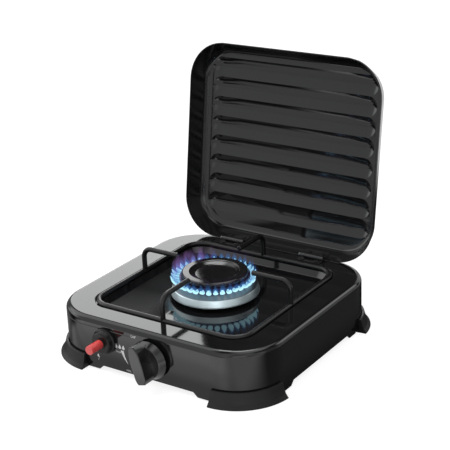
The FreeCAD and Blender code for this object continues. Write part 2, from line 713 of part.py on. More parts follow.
def lid_block(inset, depth, radius, start):
    a = vertical_rect(0, mid_v, lid_half - inset, mid_v - inset, lid_corner_r - inset, start)
    b = vertical_rect(0, mid_v, lid_half - inset, mid_v - inset, lid_corner_r - inset, lid_straight)
    d = inset + (depth - lid_straight) * tan_draft
    c = vertical_rect(0, mid_v, lid_half - d, mid_v - d, lid_corner_r - d, depth)
    low = Part.makeLoft([a, b], True, True)
    high = Part.makeLoft([b, c], True, True)
    whole = low.fuse(high).removeSplitter()
    return whole.makeFillet(radius, edges_at(whole, depth))


rib_r = ((rib_pitch / 2) ** 2 + rib_rise ** 2) / (2 * rib_rise)
inner_depth = lid_depth - lid_sheet
rib_z = inner_depth + rib_rise - rib_r


def ribs(radius):
    """The long round-ended ribs, as one tool standing just inside the flat of the lid."""
    half = rib_half_u - rib_pitch / 2
    k = radius * math.sqrt(0.5)
    outline = Part.Wire([
        Part.LineSegment(V(-half - radius, 0, 0), V(half + radius, 0, 0)).toShape(),
        Part.Arc(V(half + radius, 0, 0), V(half + k, 0, k), V(half, 0, radius)).toShape(),
        Part.LineSegment(V(half, 0, radius), V(-half, 0, radius)).toShape(),
        Part.Arc(V(-half, 0, radius), V(-half - k, 0, k), V(-half - radius, 0, 0)).toShape(),
    ])
    capsule = Part.Face(outline).revolve(V(0, 0, 0), V(1, 0, 0), 360)
    tools = []
    for i in range(rib_count):
        y = rib_start_v + (i + 0.5) * rib_pitch
        one = capsule.copy()
        one.translate(V(0, y, rib_z))
        keep = Part.makeBox(400, 3 * rib_pitch, 30, V(-200, y - 1.5 * rib_pitch, inner_depth - 0.5))
        tools.append(one.common(keep))
    return tools


lid = lid_block(0, lid_depth, lid_edge_round, 0)
for tool in ribs(rib_r + lid_sheet):
    lid = lid.fuse(tool)
lid = lid.cut(lid_block(lid_sheet, inner_depth, lid_edge_round - lid_sheet, -1))
for tool in ribs(rib_r):
    lid = lid.cut(tool)
lid = lid.removeSplitter()

# hinge parts: the lid's leaf is made in the lid's frame, the base's leaf straight on the plate
c_l = math.cos(math.radians(lid_lean))
s_l = math.sin(math.radians(lid_lean))
axis_v = (axis_y - lid_edge_y) * s_l + (axis_z - lid_edge_z) * c_l
axis_w = (axis_y - lid_edge_y) * c_l - (axis_z - lid_edge_z) * s_l
leaf_end_w = 13.0
leaf_front_y = well_cy + well_half_y + lip_r + 0.8
rivet_y = leaf_front_y + 4.4
rivet_w = 8.2
rivet_dx = 9.5
mid_knuckle = hinge_len - 2 * base_knuckle - 2 * leaf_gap


def wall_v(w, extra):
    """Inner face of the lid's hinge-side wall at depth w, moved inward by extra."""
    return lid_sheet + extra + max(0.0, w - lid_straight) * tan_draft


lid_rivets = []
lid_leaves = {}
for side, sx in (("left", 1), ("right", -1)):
    x0 = sx * hinge_x - mid_knuckle / 2
    knuckle = cyl(knuckle_r, mid_knuckle, V(x0, axis_v, axis_w), V(1, 0, 0))
    w0 = axis_w + pin_r + 0.5
    neck = Part.makeBox(mid_knuckle, leaf_t, 1.0 - w0, V(x0, lid_sheet, w0))
    near = axis_w + knuckle_r + 0.55
    pts = []
    for w in (near, lid_straight, leaf_end_w):
        pts.append(V(sx * hinge_x - hinge_len / 2, wall_v(w, 0), w))
    for w in (leaf_end_w, lid_straight, near):
        pts.append(V(sx * hinge_x - hinge_len / 2, wall_v(w, leaf_t), w))
    pts.append(pts[0])
    strap = Part.Face(Part.makePolygon(pts)).extrude(V(hinge_len, 0, 0))
    leaf = fuse_all([knuckle, neck, strap])
    leaf = leaf.cut(cyl(pin_r + pin_clear, hinge_len, V(sx * hinge_x - hinge_len / 2, axis_v, axis_w), V(1, 0, 0)))
    a = math.radians(lid_draft)
    through = V(0, math.cos(a), -math.sin(a))
    for dx in (-rivet_dx, rivet_dx):
        at = V(sx * hinge_x + dx, wall_v(rivet_w, 0), rivet_w)
        hole = cyl(rivet_r, 12, at - through * 6, through)
        leaf = leaf.cut(hole)
        lid = lid.cut(hole)
        t_leaf = leaf_t * math.cos(a)
        t_wall = lid_sheet * math.cos(a)
        head = cyl(rivet_head_r, rivet_head_t, at + through * t_leaf, through)
        shank = cyl(rivet_r, t_leaf + t_wall, at - through * t_wall, through)
        tail = cyl(rivet_head_r - 0.5, rivet_head_t, at - through * t_wall, V(0, -through.y, -through.z))
        lid_rivets.append(fuse_all([head, shank, tail]))
    lid_leaves["hinge_lid_leaf_" + side] = leaf.removeSplitter()

# the lid frame turned into the open stove: its y runs up the lid, its z runs back through it
place = FreeCAD.Placement(FreeCAD.Matrix(
    -1, 0, 0, 0,
    0, s_l, c_l, lid_edge_y,
    0, c_l, -s_l, lid_edge_z,
    0, 0, 0, 1,
))
solids["lid_shell"] = lid
for name, leaf in lid_leaves.items():
    solids[name] = leaf
solids["lid_rivets"] = Part.makeCompound(lid_rivets)
for name in ("lid_shell", "hinge_lid_leaf_left", "hinge_lid_leaf_right", "lid_rivets"):
    solids[name].Placement = place

base_rivets = []
pins = []
shell = solids["base_shell"]
for side, sx in (("left", -1), ("right", 1)):
    x0 = sx * hinge_x - hinge_len / 2
    plate = Part.makeBox(hinge_len, axis_y - leaf_front_y, leaf_t, V(x0, leaf_front_y, plate_z))
    knuckles = []
    for kx in (x0, x0 + hinge_len - base_knuckle):
        knuckles.append(cyl(knuckle_r, base_knuckle, V(kx, axis_y, axis_z), V(1, 0, 0)))
        knuckles.append(Part.makeBox(base_knuckle, 3.2, axis_z - plate_z - 0.6, V(kx, axis_y - 3.2, plate_z)))
    leaf = fuse_all([plate] + knuckles)
    notch_w = mid_knuckle + 2 * leaf_gap
    notch = Part.makeBox(notch_w, 20, 20, V(sx * hinge_x - notch_w / 2, axis_y - knuckle_r - 0.5, plate_z - 5))
    leaf = leaf.cut(notch)
    leaf = leaf.cut(cyl(pin_r + 0.02, hinge_len + 2, V(x0 - 1, axis_y, axis_z), V(1, 0, 0)))
    for dx in (-rivet_dx, rivet_dx):
        at = V(sx * hinge_x + dx, rivet_y, plate_z)
        hole = cyl(rivet_r, 12, at - V(0, 0, 6), V(0, 0, 1))
        leaf = leaf.cut(hole)
        shell = shell.cut(hole)
        head = cyl(rivet_head_r, rivet_head_t, at + V(0, 0, leaf_t), V(0, 0, 1))
        shank = cyl(rivet_r, leaf_t + sheet, at - V(0, 0, sheet), V(0, 0, 1))
        tail = cyl(rivet_head_r - 0.5, rivet_head_t, at - V(0, 0, sheet), V(0, 0, -1))
        base_rivets.append(fuse_all([head, shank, tail]))
    solids["hinge_base_leaf_" + side] = leaf.removeSplitter()
    pin = cyl(pin_r, hinge_len, V(x0, axis_y, axis_z), V(1, 0, 0))
    pin = pin.fuse(cyl(pin_r + 0.7, 0.8, V(x0 - 0.8, axis_y, axis_z), V(1, 0, 0)))
    pins.append(pin.removeSplitter())
solids["base_shell"] = shell
solids["base_rivets"] = Part.makeCompound(base_rivets)
solids["hinge_pins"] = Part.makeCompound(pins)

# move the whole stove so that the origin is the bottom centre of its outline with the lid open
whole = Part.makeCompound(list(solids.values()))
box = whole.optimalBoundingBox()
shift = V(0, -(box.YMin + box.YMax) / 2, 0)
print("box before the move", [round(n, 2) for n in (box.XMin, box.XMax, box.YMin, box.YMax, box.ZMin, box.ZMax)])
print("moved along Y by", round(shift.y, 4))
print("lid axis y z", round(axis_y + shift.y, 4), axis_z)
print("knob axis x z", knob_x, knob_z, "button x z", piezo_x, piezo_z)

os.makedirs("parts", exist_ok=True)
for name, shape in solids.items():
    shape = shape.copy()
    shape.translate(shift)
    print(name, "valid" if shape.isValid() else "NOT VALID", len(shape.Solids), "solids", round(shape.Volume / 1000, 2), "cm3")
    shape.exportStep("parts/" + name + ".step")
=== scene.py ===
# %% [markdown]
# A small lidded gas stove with one burner, dressed for its portrait. The solid parts come in as a
# fixed frame that is never moved, so this file only adds finishes, printed marks, the flames, the
# light and the camera. Everything is in metres, in the frame's own axes: X to the right of the
# cook, Y to the back, Z up, with the four feet standing on Z = 0.

# %% Load the frame
import math
import bpy
import bmesh
from mathutils import Matrix, Quaternion, Vector


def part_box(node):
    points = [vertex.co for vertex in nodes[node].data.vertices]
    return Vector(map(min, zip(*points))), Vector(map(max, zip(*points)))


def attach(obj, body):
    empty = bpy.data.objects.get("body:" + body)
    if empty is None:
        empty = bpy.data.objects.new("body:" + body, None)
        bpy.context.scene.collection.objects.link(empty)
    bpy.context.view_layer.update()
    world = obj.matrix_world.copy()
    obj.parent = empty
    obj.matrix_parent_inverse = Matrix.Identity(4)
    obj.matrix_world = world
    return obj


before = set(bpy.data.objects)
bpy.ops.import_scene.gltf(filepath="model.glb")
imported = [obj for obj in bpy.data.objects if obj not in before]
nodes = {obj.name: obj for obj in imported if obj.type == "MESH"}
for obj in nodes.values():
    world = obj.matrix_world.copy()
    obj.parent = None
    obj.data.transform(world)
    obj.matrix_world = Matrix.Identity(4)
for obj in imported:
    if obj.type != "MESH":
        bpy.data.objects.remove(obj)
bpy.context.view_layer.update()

# %% [markdown]
# The camera looks down on the stove from its front right corner. It could be aimed with a
# constraint, but a direction, a roll and a place are three plain values, and they were worked out
# from where the corners of the base, the feet and the lid fall in the picture.

# %% Camera
MM = 0.001
view_side = math.radians(34.55)
view_down = math.radians(21.477)
view_roll = math.radians(-2.424)
base_low, base_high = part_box("base_shell")
base_middle = (base_low.y + base_high.y) / 2
camera_place = Vector((0.77909, base_middle - 1.10668, 0.67128))
focal_pixels, picture_pixels, sensor_mm = 1281.39, 450, 36.0
back = Vector((math.sin(view_side) * math.cos(view_down),
               -math.cos(view_side) * math.cos(view_down),
               math.sin(view_down)))
camera_data = bpy.data.cameras.new("portrait_camera")
camera_data.sensor_width = sensor_mm
camera_data.lens = focal_pixels / picture_pixels * sensor_mm
camera_data.clip_start = 0.05
camera_data.clip_end = 50.0
camera = bpy.data.objects.new("portrait_camera", camera_data)
bpy.context.scene.collection.objects.link(camera)
camera.rotation_mode = "QUATERNION"
camera.rotation_quaternion = Quaternion(back, view_roll) @ back.to_track_quat("Z", "Y")
camera.location = camera_place
bpy.context.scene.camera = camera
bpy.context.scene.view_settings.view_transform = "Standard"
print("lens", round(camera_data.lens, 2))

# %% [markdown]
# Finishes are node trees. Writing out every node and link by hand hides what a finish is, so one
# small helper holds a tree and adds nodes to it. A value that is the same all over goes on the
# shader's own socket, and only what varies over the surface is linked.

# %% Helper that builds a node tree
class Tree:
    """A material's or the world's nodes, with short calls for the ones used here."""

    def __init__(self, owner):
        owner.use_nodes = True
        self.nodes = owner.node_tree.nodes
        self.links = owner.node_tree.links
        self.nodes.clear()

    def add(self, kind, settings=None, **inputs):
        node = self.nodes.new("ShaderNode" + kind)
        for key, value in (settings or {}).items():
            setattr(node, key, value)
        for key, value in inputs.items():
            socket = node.inputs[int(key[1:])] if key[0] == "i" and key[1:].isdigit() else \
                node.inputs[key.replace("_", " ")]
            self.put(socket, value)
        return node

    def put(self, socket, value):
        if isinstance(value, bpy.types.NodeSocket):
            self.links.new(value, socket)
        else:
            socket.default_value = value

    def place(self):
        return self.add("TexCoord").outputs["Object"]

    def noise(self, scale, detail=2.0, rough=0.5, at=None):
        node = self.add("TexNoise", Vector=at or self.place(), Scale=scale, Detail=detail, Roughness=rough)
        return node.outputs["Fac"]

    def spread(self, value, low, high, to_low, to_high, smooth=False):
        kind = "SMOOTHSTEP" if smooth else "LINEAR"
        node = self.add("MapRange", {"interpolation_type": kind},
                        i0=value, i1=low, i2=high, i3=to_low, i4=to_high)
        return node.outputs["Result"]

    def math(self, operation, a, b=0.0):
        return self.add("Math", {"operation": operation}, i0=a, i1=b).outputs[0]

    def blend(self, share, a, b):
        node = self.add("MixRGB", {"blend_type": "MIX"}, i0=share, i1=a, i2=b)
        return node.outputs[0]

    def bump(self, height, strength, distance):
        return self.add("Bump", Strength=strength, Distance=distance, Height=height).outputs[0]


def rgb(r, g, b):
    return (r, g, b, 1.0)


def finish(name, **fixed):
    """A new material with one Principled shader. Returns the material, its tree and the shader."""
    material = bpy.data.materials.new(name)
    tree = Tree(material)
    shader = tree.add("BsdfPrincipled")
    tree.add("OutputMaterial", Surface=shader.outputs[0])
    for key, value in fixed.items():
        shader.inputs[key.replace("_", " ")].default_value = value
    return material, tree, shader


print("node helper ready")

# %% [markdown]
# The base and the lid are pressed steel with a thick coat of fired black enamel. It is nearly a
# mirror at a low angle, with a faint orange-peel waviness, and the plain index of glass gives that.
#
# Three things below are a fit and aren't known of the real stove. They were set until patches
# of the render were about as bright as the same patches of the photograph. On the left of the well's
# floor a bump tilts the mirror and the finish is duller: a pressing couldn't really rise that much in
# a well this shallow. In the lid a bump halves how deep the troughs look, so the real ones may be
# shallower than the solids'. The lid's side walls are duller, which blurs the troughs they mirror.
# No bump changes a mesh.

# %% Black enamel
well_floor_z = 0.053
tilt_start_x = 0.018
tilt_height = 1.15
tilt_power = 1.5
dull_floor = 0.22
dull_from_x, dull_to_x = -0.050, -0.012
dull_wall = 0.16
lid_lean = math.radians(8.6)
lid_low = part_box("lid_shell")[0]
lid_flat_depth = 0.0257
trough_fill, end_fill = 0.50, 0.22
trough_end, end_fade = 0.112, 0.042
lid_wall_x = 0.118


def filled_troughs(tree, surface):
    """A bump that halves how deep the lid's troughs look, and less at their round ends."""
    behind = (0.0, math.cos(lid_lean), -math.sin(lid_lean))
    rim = Vector((0.0, lid_low.y, lid_low.z)).dot(Vector(behind))
    along = tree.add("VectorMath", {"operation": "DOT_PRODUCT"}, i0=tree.place(), i1=behind)
    depth = along.outputs["Value"]
    below = tree.math("MAXIMUM", tree.math("SUBTRACT", depth, rim + lid_flat_depth), 0.0)
    beside = tree.math("ABSOLUTE", tree.add("SeparateXYZ", Vector=tree.place()).outputs["X"])
    share = tree.spread(beside, trough_end - end_fade, trough_end, trough_fill, end_fill, True)
    fill = tree.math("MULTIPLY", below, share)
    return tree.add("Bump", Strength=1.0, Distance=1.0, Height=fill, Normal=surface).outputs[0]


def black_enamel(name, is_base):
    material, tree, shader = finish(name, IOR=1.52)
    cloud = tree.noise(9.0, 3.0)
    peel = tree.noise(420.0, 1.5)
    tone = tree.blend(cloud, rgb(0.0055, 0.0056, 0.0062), rgb(0.0085, 0.0085, 0.0092))
    tree.put(shader.inputs["Base Color"], tone)
    gloss = tree.spread(cloud, 0.3, 0.7, 0.05, 0.09)
    surface = tree.bump(peel, 0.03, 0.0002)
    if is_base:
        spot = tree.add("SeparateXYZ", Vector=tree.place())
        beside = tree.math("SUBTRACT", tree.math("MULTIPLY", spot.outputs["X"], -1.0), tilt_start_x)
        climb = tree.math("POWER", tree.math("MAXIMUM", beside, 0.0), tilt_power)
        on_floor = tree.math("LESS_THAN", spot.outputs["Z"], well_floor_z + 0.0004)
        inside = tree.math("GREATER_THAN", spot.outputs["Z"], well_floor_z - 0.0008)
        floor_only = tree.math("MULTIPLY", on_floor, inside)
        height = tree.math("MULTIPLY", climb, floor_only)
        blur = tree.spread(spot.outputs["X"], dull_from_x, dull_to_x, dull_floor, 0.0, True)
        gloss = tree.math("ADD", gloss, tree.math("MULTIPLY", blur, floor_only))
        tilted = tree.add("Bump", Strength=1.0, Distance=tilt_height, Height=height, Normal=surface)
        surface = tilted.outputs[0]
    else:
        surface = filled_troughs(tree, surface)
        beside = tree.math("ABSOLUTE", tree.add("SeparateXYZ", Vector=tree.place()).outputs["X"])
        duller = tree.spread(beside, lid_wall_x - 0.003, lid_wall_x, 0.0, dull_wall, True)
        gloss = tree.math("ADD", gloss, duller)
    tree.put(shader.inputs["Roughness"], gloss)
    tree.put(shader.inputs["Normal"], surface)
    return material


base_enamel = black_enamel("fired_black_enamel_base", True)
lid_enamel = black_enamel("fired_black_enamel_lid", False)
print("made", base_enamel.name, lid_enamel.name)

# %% [markdown]
# The pan support is bent steel wire under a duller enamel with a grainier skin. The cap over the
# burner is glossier. A slight swell of its face, under a millimetre, moves what it mirrors nearer to
# where the photograph shows it. The swell is a bump set the same way and isn't in the mesh.

# %% Wire enamel, cap enamel
cap_swell = 0.6


def wire_enamel():
    material, tree, shader = finish("wire_enamel", IOR=1.5)
    cloud = tree.noise(60.0, 3.0)
    grain = tree.noise(1500.0, 2.0)
    tone = tree.blend(cloud, rgb(0.003, 0.003, 0.0033), rgb(0.006, 0.0058, 0.0055))
    tree.put(shader.inputs["Base Color"], tone)
    tree.put(shader.inputs["Roughness"], tree.spread(cloud, 0.3, 0.7, 0.30, 0.42))
    tree.put(shader.inputs["Normal"], tree.bump(grain, 0.10, 0.0001))
    return material


def cap_enamel():
    material, tree, shader = finish("cap_enamel", IOR=1.52)
    speck = tree.noise(900.0, 3.0, 0.7)
    cloud = tree.noise(45.0, 2.0)
    tone = tree.blend(cloud, rgb(0.0045, 0.0045, 0.005), rgb(0.008, 0.0078, 0.0082))
    flecks = tree.spread(speck, 0.62, 0.72, 0.0, 1.0)
    tree.put(shader.inputs["Base Color"], tree.blend(flecks, tone, rgb(0.014, 0.014, 0.015)))
    tree.put(shader.inputs["Roughness"], tree.spread(speck, 0.3, 0.7, 0.10, 0.16))
    cap_low, cap_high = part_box("burner_cap")
    middle = (cap_low + cap_high) / 2
    spot = tree.add("SeparateXYZ", Vector=tree.place())
    across = tree.math("POWER", tree.math("SUBTRACT", spot.outputs["X"], middle.x), 2.0)
    along = tree.math("POWER", tree.math("SUBTRACT", spot.outputs["Y"], middle.y), 2.0)
    swell = tree.math("MULTIPLY", tree.math("ADD", across, along), -1.0)
    grainy = tree.bump(speck, 0.08, 0.0001)
    swollen = tree.add("Bump", Strength=1.0, Distance=cap_swell, Height=swell, Normal=grainy)
    tree.put(shader.inputs["Normal"], swollen.outputs[0])
    return material


wire, cap_finish = wire_enamel(), cap_enamel()
print("made", wire.name, cap_finish.name)

# %% [markdown]
# The burner ring is cast aluminium, with a little cloudiness and a fine sandy skin. Its colour also
# holds painted light by height: a cyan cast in place of the flames' light on it, a darker grey on its
# shoulder as a painted reflection, and dark blue round its slots as painted shade under the cap.
# Whether heat, shade or the flames do that can't be told, so it is a tone by height here. Brass,
# steel and the drawn gas pipe are made by one function from a tone, a roughness and the size of their
# grain.

# %% Metals
def metal(name, tone, rough, grain_scale, grain_depth, tarnish=0.85):
    material, tree, shader = finish(name, Metallic=1.0)
    cloud = tree.noise(70.0, 3.0)
    grain = tree.noise(grain_scale, 2.0)
    dull = tuple(c * tarnish for c in tone)
    tree.put(shader.inputs["Base Color"], tree.blend(cloud, rgb(*dull), rgb(*tone)))
    tree.put(shader.inputs["Roughness"], tree.spread(cloud, 0.25, 0.75, rough * 0.85, rough * 1.25))
    tree.put(shader.inputs["Normal"], tree.bump(grain, grain_depth, 0.0001))
    return material


def ring_metal():
    """Cast aluminium with painted light: cyan flame light, a painted grey reflection on the shoulder,
    painted blue shade at the slots.
    """
    material, tree, shader = finish("cast_aluminium", Metallic=1.0)
    ring_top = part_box("burner_head")[1].z
    height = tree.add("SeparateXYZ", Vector=tree.place()).outputs["Z"]
    cloud = tree.noise(70.0, 3.0)
    # The cyan in this tone is painted flame light on the bare metal.
    flame_lit_metal = tree.blend(cloud, rgb(0.74, 0.88, 0.94), rgb(0.82, 0.96, 1.0))
    # Painted light by height: the shoulder's darker grey is a painted reflection, the dark blue round the
    # slots painted shade.
    painted_shoulder_reflection = tree.spread(height, ring_top - 0.0119, ring_top - 0.0113, 0.0, 1.0, True)
    painted_slot_shade = tree.spread(height, ring_top - 0.0082, ring_top - 0.0070, 0.0, 1.0, True)
    tone = tree.blend(painted_shoulder_reflection, flame_lit_metal, rgb(0.17, 0.18, 0.20))
    tree.put(shader.inputs["Base Color"], tree.blend(painted_slot_shade, tone, rgb(0.05, 0.055, 0.11)))
    tree.put(shader.inputs["Roughness"], tree.spread(cloud, 0.25, 0.75, 0.31, 0.45))
    tree.put(shader.inputs["Normal"], tree.bump(tree.noise(1300.0, 2.0), 0.08, 0.0001))
    return material


cast_aluminium = ring_metal()
brass = metal("turned_brass", (0.72, 0.50, 0.20), 0.24, 1800.0, 0.05)
steel = metal("zinc_plated_steel", (0.60, 0.60, 0.60), 0.28, 1500.0, 0.06)
pipe_metal = metal("drawn_aluminium", (0.70, 0.71, 0.73), 0.32, 1600.0, 0.08)
print("made 4 metals")

# %% [markdown]
# The knob is glossy black plastic, the igniter's collar a satin one, and the feet are duller
# still. The igniter's button is red. Ceramic, rubber and the black hinges are made by the same
# function, because they too need only two near tones, a range of roughness and a fine skin.

# %% Plastics, ceramic, rubber and the hinges
def plastic(name, dark, light, rough_low, rough_high, skin_scale, skin_depth, coat=0.0, shine=0.5):
    material, tree, shader = finish(name, IOR=1.49, Coat_Weight=coat, Coat_Roughness=0.08,
                                    Specular_IOR_Level=shine)
    cloud = tree.noise(40.0, 2.0)
    skin = tree.noise(skin_scale, 2.0)
    tree.put(shader.inputs["Base Color"], tree.blend(cloud, rgb(*dark), rgb(*light)))
    tree.put(shader.inputs["Roughness"], tree.spread(skin, 0.3, 0.7, rough_low, rough_high))
    tree.put(shader.inputs["Normal"], tree.bump(skin, skin_depth, 0.0001))
    return material


knob_plastic = plastic("glossy_black_plastic", (0.006, 0.006, 0.007), (0.009, 0.009, 0.010),
                       0.12, 0.20, 900.0, 0.03, 0.4, 0.5)
foot_plastic = plastic("dull_black_plastic", (0.012, 0.012, 0.012), (0.018, 0.018, 0.018),
                       0.34, 0.48, 2200.0, 0.14, 0.0, 0.25)
collar_plastic = plastic("satin_black_plastic", (0.006, 0.006, 0.006), (0.009, 0.009, 0.009),
                         0.28, 0.38, 1500.0, 0.06, 0.0, 0.25)
red_plastic = plastic("red_button_plastic", (0.74, 0.06, 0.062), (0.84, 0.085, 0.08),
                      0.26, 0.36, 1400.0, 0.05, 0.3)
white_ceramic = plastic("glazed_ceramic", (0.80, 0.78, 0.72), (0.88, 0.87, 0.83),
                        0.12, 0.2, 700.0, 0.03, 0.5)
lead_rubber = plastic("lead_rubber", (0.20, 0.03, 0.025), (0.27, 0.045, 0.035), 0.45, 0.6, 1800.0, 0.12)
hinge_enamel = plastic("hinge_enamel", (0.006, 0.006, 0.007), (0.010, 0.010, 0.011),
                       0.12, 0.20, 800.0, 0.05, 0.5)
print("made 7 plastics and the like")

# %% [markdown]
# Each solid node keeps its shape and takes one of these finishes. The record names a material
# slot for every node, so a table from slot to finish dresses them all, and a node that is missed
# would be printed here.

# %% Dress the solid nodes
dressing = {
    "base_enamel": base_enamel, "lid_enamel": lid_enamel, "rod_enamel": wire, "cap_enamel": cap_finish,
    "cast_aluminium": cast_aluminium, "valve_brass": brass, "steel": steel,
    "hinge_metal": hinge_enamel, "black_gloss_plastic": knob_plastic, "black_plastic": foot_plastic,
    "collar_plastic": collar_plastic,
    "red_plastic": red_plastic, "white_ceramic": white_ceramic, "lead_rubber": lead_rubber,
    "pipe_metal": pipe_metal,
}
node_slots = {
    "base_enamel": ["base_shell"],
    "lid_enamel": ["lid_shell"],
    "rod_enamel": ["pan_support"],
    "cap_enamel": ["burner_cap"],
    "cast_aluminium": ["burner_base", "burner_head"],
    "valve_brass": ["valve_body", "injector", "valve_stem", "valve_plunger", "inlet_fitting", "inlet_nut"],
    "steel": ["foot_screws", "burner_screws", "valve_bracket", "bracket_rivets", "electrode_pin",
              "hinge_pins"],
    "hinge_metal": ["hinge_lid_leaf_left", "hinge_lid_leaf_right", "hinge_base_leaf_left",
                    "hinge_base_leaf_right", "lid_rivets", "base_rivets"],
    "black_gloss_plastic": ["knob"],
    "collar_plastic": ["piezo_collar"],
    "black_plastic": ["foot_front_left", "foot_front_right", "foot_rear_left", "foot_rear_right",
                      "piezo_body"],
    "red_plastic": ["piezo_button"],
    "white_ceramic": ["electrode_ceramic"],
    "lead_rubber": ["ignition_lead"],
    "pipe_metal": ["gas_pipe"],
}
dressed = set()
for slot, names in node_slots.items():
    for name in names:
        for material_slot in nodes[name].material_slots:
            material_slot.material = dressing[slot]
        dressed.add(name)
print("dressed", len(dressed), "missed", sorted(set(nodes) - dressed))

# %% [markdown]
# A helper turns a finished bmesh into a piece that rides on one of the bodies. Its place is in
# its mesh, and its object stays at the origin.

# %% Helper that makes a piece
def piece(name, bm, body, material, smooth=True):
    bmesh.ops.remove_doubles(bm, verts=bm.verts, dist=1e-7)
    bmesh.ops.recalc_face_normals(bm, faces=bm.faces)
    mesh = bpy.data.meshes.new(name)
    bm.to_mesh(mesh)
    bm.free()
    for face in mesh.polygons:
        face.use_smooth = smooth
    obj = bpy.data.objects.new(name, mesh)
    bpy.context.scene.collection.objects.link(obj)
    mesh.materials.append(material)
    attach(obj, body)
    return obj


def tongue(bm, stations, sides=8):
    """A closed tapered body through stations (centre, radius across, radius up), from root to tip."""
    first = bmesh.ops.create_circle(bm, cap_ends=True, cap_tris=False, segments=sides, radius=1.0)
    ring = first["verts"]
    turn = Matrix.Rotation(math.radians(90), 4, "Y")
    bmesh.ops.transform(bm, matrix=turn, verts=ring)
    made = list(ring)
    edges = list({e for v in ring for e in v.link_edges})
    here = (Vector((0, 0, 0)), 1.0, 1.0)
    for number, (centre, across, up) in enumerate(stations):
        if number:
            grown = bmesh.ops.extrude_edge_only(bm, edges=edges)["geom"]
            ring = [g for g in grown if isinstance(g, bmesh.types.BMVert)]
            edges = [g for g in grown if isinstance(g, bmesh.types.BMEdge)]
            made += ring
        old, old_across, old_up = here
        bmesh.ops.translate(bm, vec=-old, verts=ring)
        bmesh.ops.scale(bm, vec=(1.0, across / old_across, up / old_up), verts=ring)
        bmesh.ops.translate(bm, vec=centre, verts=ring)
        here = (centre, across, up)
    bmesh.ops.edgeloop_fill(bm, edges=edges)
    return made


print("helpers ready")

# %% [markdown]
# Gas burns at each slot of the ring as a small tongue that leaves outwards and curls up past the
# cap. A fire simulation would need a bake for one still picture. Short tapered bodies, extruded ring
# by ring, are enough at this size: a bright pale core at the slot, a thinner blue body round it, and
# over all a faint violet veil. The tongues on the left reach further, set from the photograph.

# %% Flames
head_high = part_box("burner_head")[1]
cap_low, cap_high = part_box("burner_cap")
burner_x = (cap_low.x + cap_high.x) / 2
burner_y = (cap_low.y + cap_high.y) / 2
slot_z = head_high.z - 0.0034
print("burner centre", round(burner_x, 4), round(burner_y, 4), "slots at", round(slot_z, 4))


def flame_finish(name, hot, cool, base_alpha, tip_alpha, power, top):
    material, tree, shader = finish(name, Roughness=1.0, Specular_IOR_Level=0.0, Emission_Strength=power)
    shader.inputs["Base Color"].default_value = rgb(0.0, 0.0, 0.0)
    height = tree.add("SeparateXYZ", Vector=tree.place()).outputs["Z"]
    rise = tree.spread(height, slot_z - 0.001, slot_z + top, 0.0, 1.0)
    flicker = tree.noise(260.0, 2.0)
    tree.put(shader.inputs["Emission Color"], tree.blend(tree.math("MULTIPLY", rise, flicker), hot, cool))
    tree.put(shader.inputs["Alpha"], tree.spread(rise, 0.0, 1.0, base_alpha, tip_alpha))
    return material


flame_core = flame_finish("flame_core",
                          rgb(0.50, 0.88, 1.0), rgb(0.30, 0.66, 1.0), 0.88, 0.60, 1.2, 0.006)
flame_body = flame_finish("flame_body",
                          rgb(0.05, 0.26, 0.60), rgb(0.06, 0.08, 0.40), 0.45, 0.05, 0.9, 0.010)
ports = 36
core_route = ((40.0, 0.2, 1.4, 1.0), (42.4, -1.0, 2.6, 1.3), (44.8, -1.3, 3.1, 1.6),
              (46.6, -0.2, 2.9, 1.6),
              (47.8, 1.6, 2.0, 1.3), (48.4, 3.6, 0.6, 0.5))
body_route = ((40.8, 0.6, 1.8, 1.4), (44.0, 1.0, 2.9, 2.0), (46.4, 2.8, 3.2, 2.2), (47.6, 5.6, 2.7, 2.0),
              (47.8, 8.6, 1.6, 1.4), (47.4, 11.6, 0.3, 0.3))
flame_parts = (("flame_cores", flame_core, core_route), ("flame_bodies", flame_body, body_route))
for name, material, route in flame_parts:
    bm = bmesh.new()
    for port in range(ports):
        angle = math.tau * (port + 0.5) / ports
        lean = 1.0 + 0.10 * math.sin(port * 2.4) + 0.50 * max(0.0, -math.cos(angle))
        tall = 1.0 + 0.22 * math.sin(port * 3.7 + 1.0)
        path = []
        for out, up, across, thick in route:
            reach = 41.0 + (out - 41.0) * lean
            path.append((Vector((reach * MM, 0, slot_z + up * tall * MM)), across * MM, thick * MM))
        verts = tongue(bm, path)
        turn = Matrix.Rotation(angle, 4, "Z")
        bmesh.ops.transform(bm, matrix=Matrix.Translation((burner_x, burner_y, 0)) @ turn, verts=verts)
    flames = piece(name, bm, "stove", material)
    print(name, len(flames.data.polygons), "faces")

# %% [markdown]
# The veil is one thin skirt of light round the ring: a narrow closed profile spun about the
# burner's axis. It is strongest on the left and nearly gone on the right, and a coarse noise tears
# it into wisps.

# %% Flame veil
def veil_finish():
    material, tree, shader = finish("flame_veil", Roughness=1.0, Specular_IOR_Level=0.0,
                                    Emission_Strength=0.9)
    shader.inputs["Base Color"].default_value = rgb(0.0, 0.0, 0.0)
    spot = tree.add("SeparateXYZ", Vector=tree.place())
    rise = tree.spread(spot.outputs["Z"], slot_z - 0.002, slot_z + 0.022, 0.0, 1.0)
    leftness = tree.spread(spot.outputs["X"], burner_x - 0.047, burner_x - 0.022, 1.0, 0.06, True)
    stretch = tree.add("VectorMath", {"operation": "MULTIPLY"}, i0=tree.place(), i1=(1.0, 1.0, 0.35))
    wisps = tree.spread(tree.noise(150.0, 2.0, 0.5, stretch.outputs[0]), 0.40, 0.62, 0.15, 1.0, True)
    fade = tree.math("POWER", tree.math("SUBTRACT", 1.0, rise), 1.3)
    thin = tree.math("MULTIPLY", tree.math("MULTIPLY", fade, wisps), tree.math("MULTIPLY", leftness, 0.5))
    tree.put(shader.inputs["Emission Color"], tree.blend(rise, rgb(0.20, 0.28, 0.95), rgb(0.66, 0.28, 0.72)))
    tree.put(shader.inputs["Alpha"], thin)
    return material


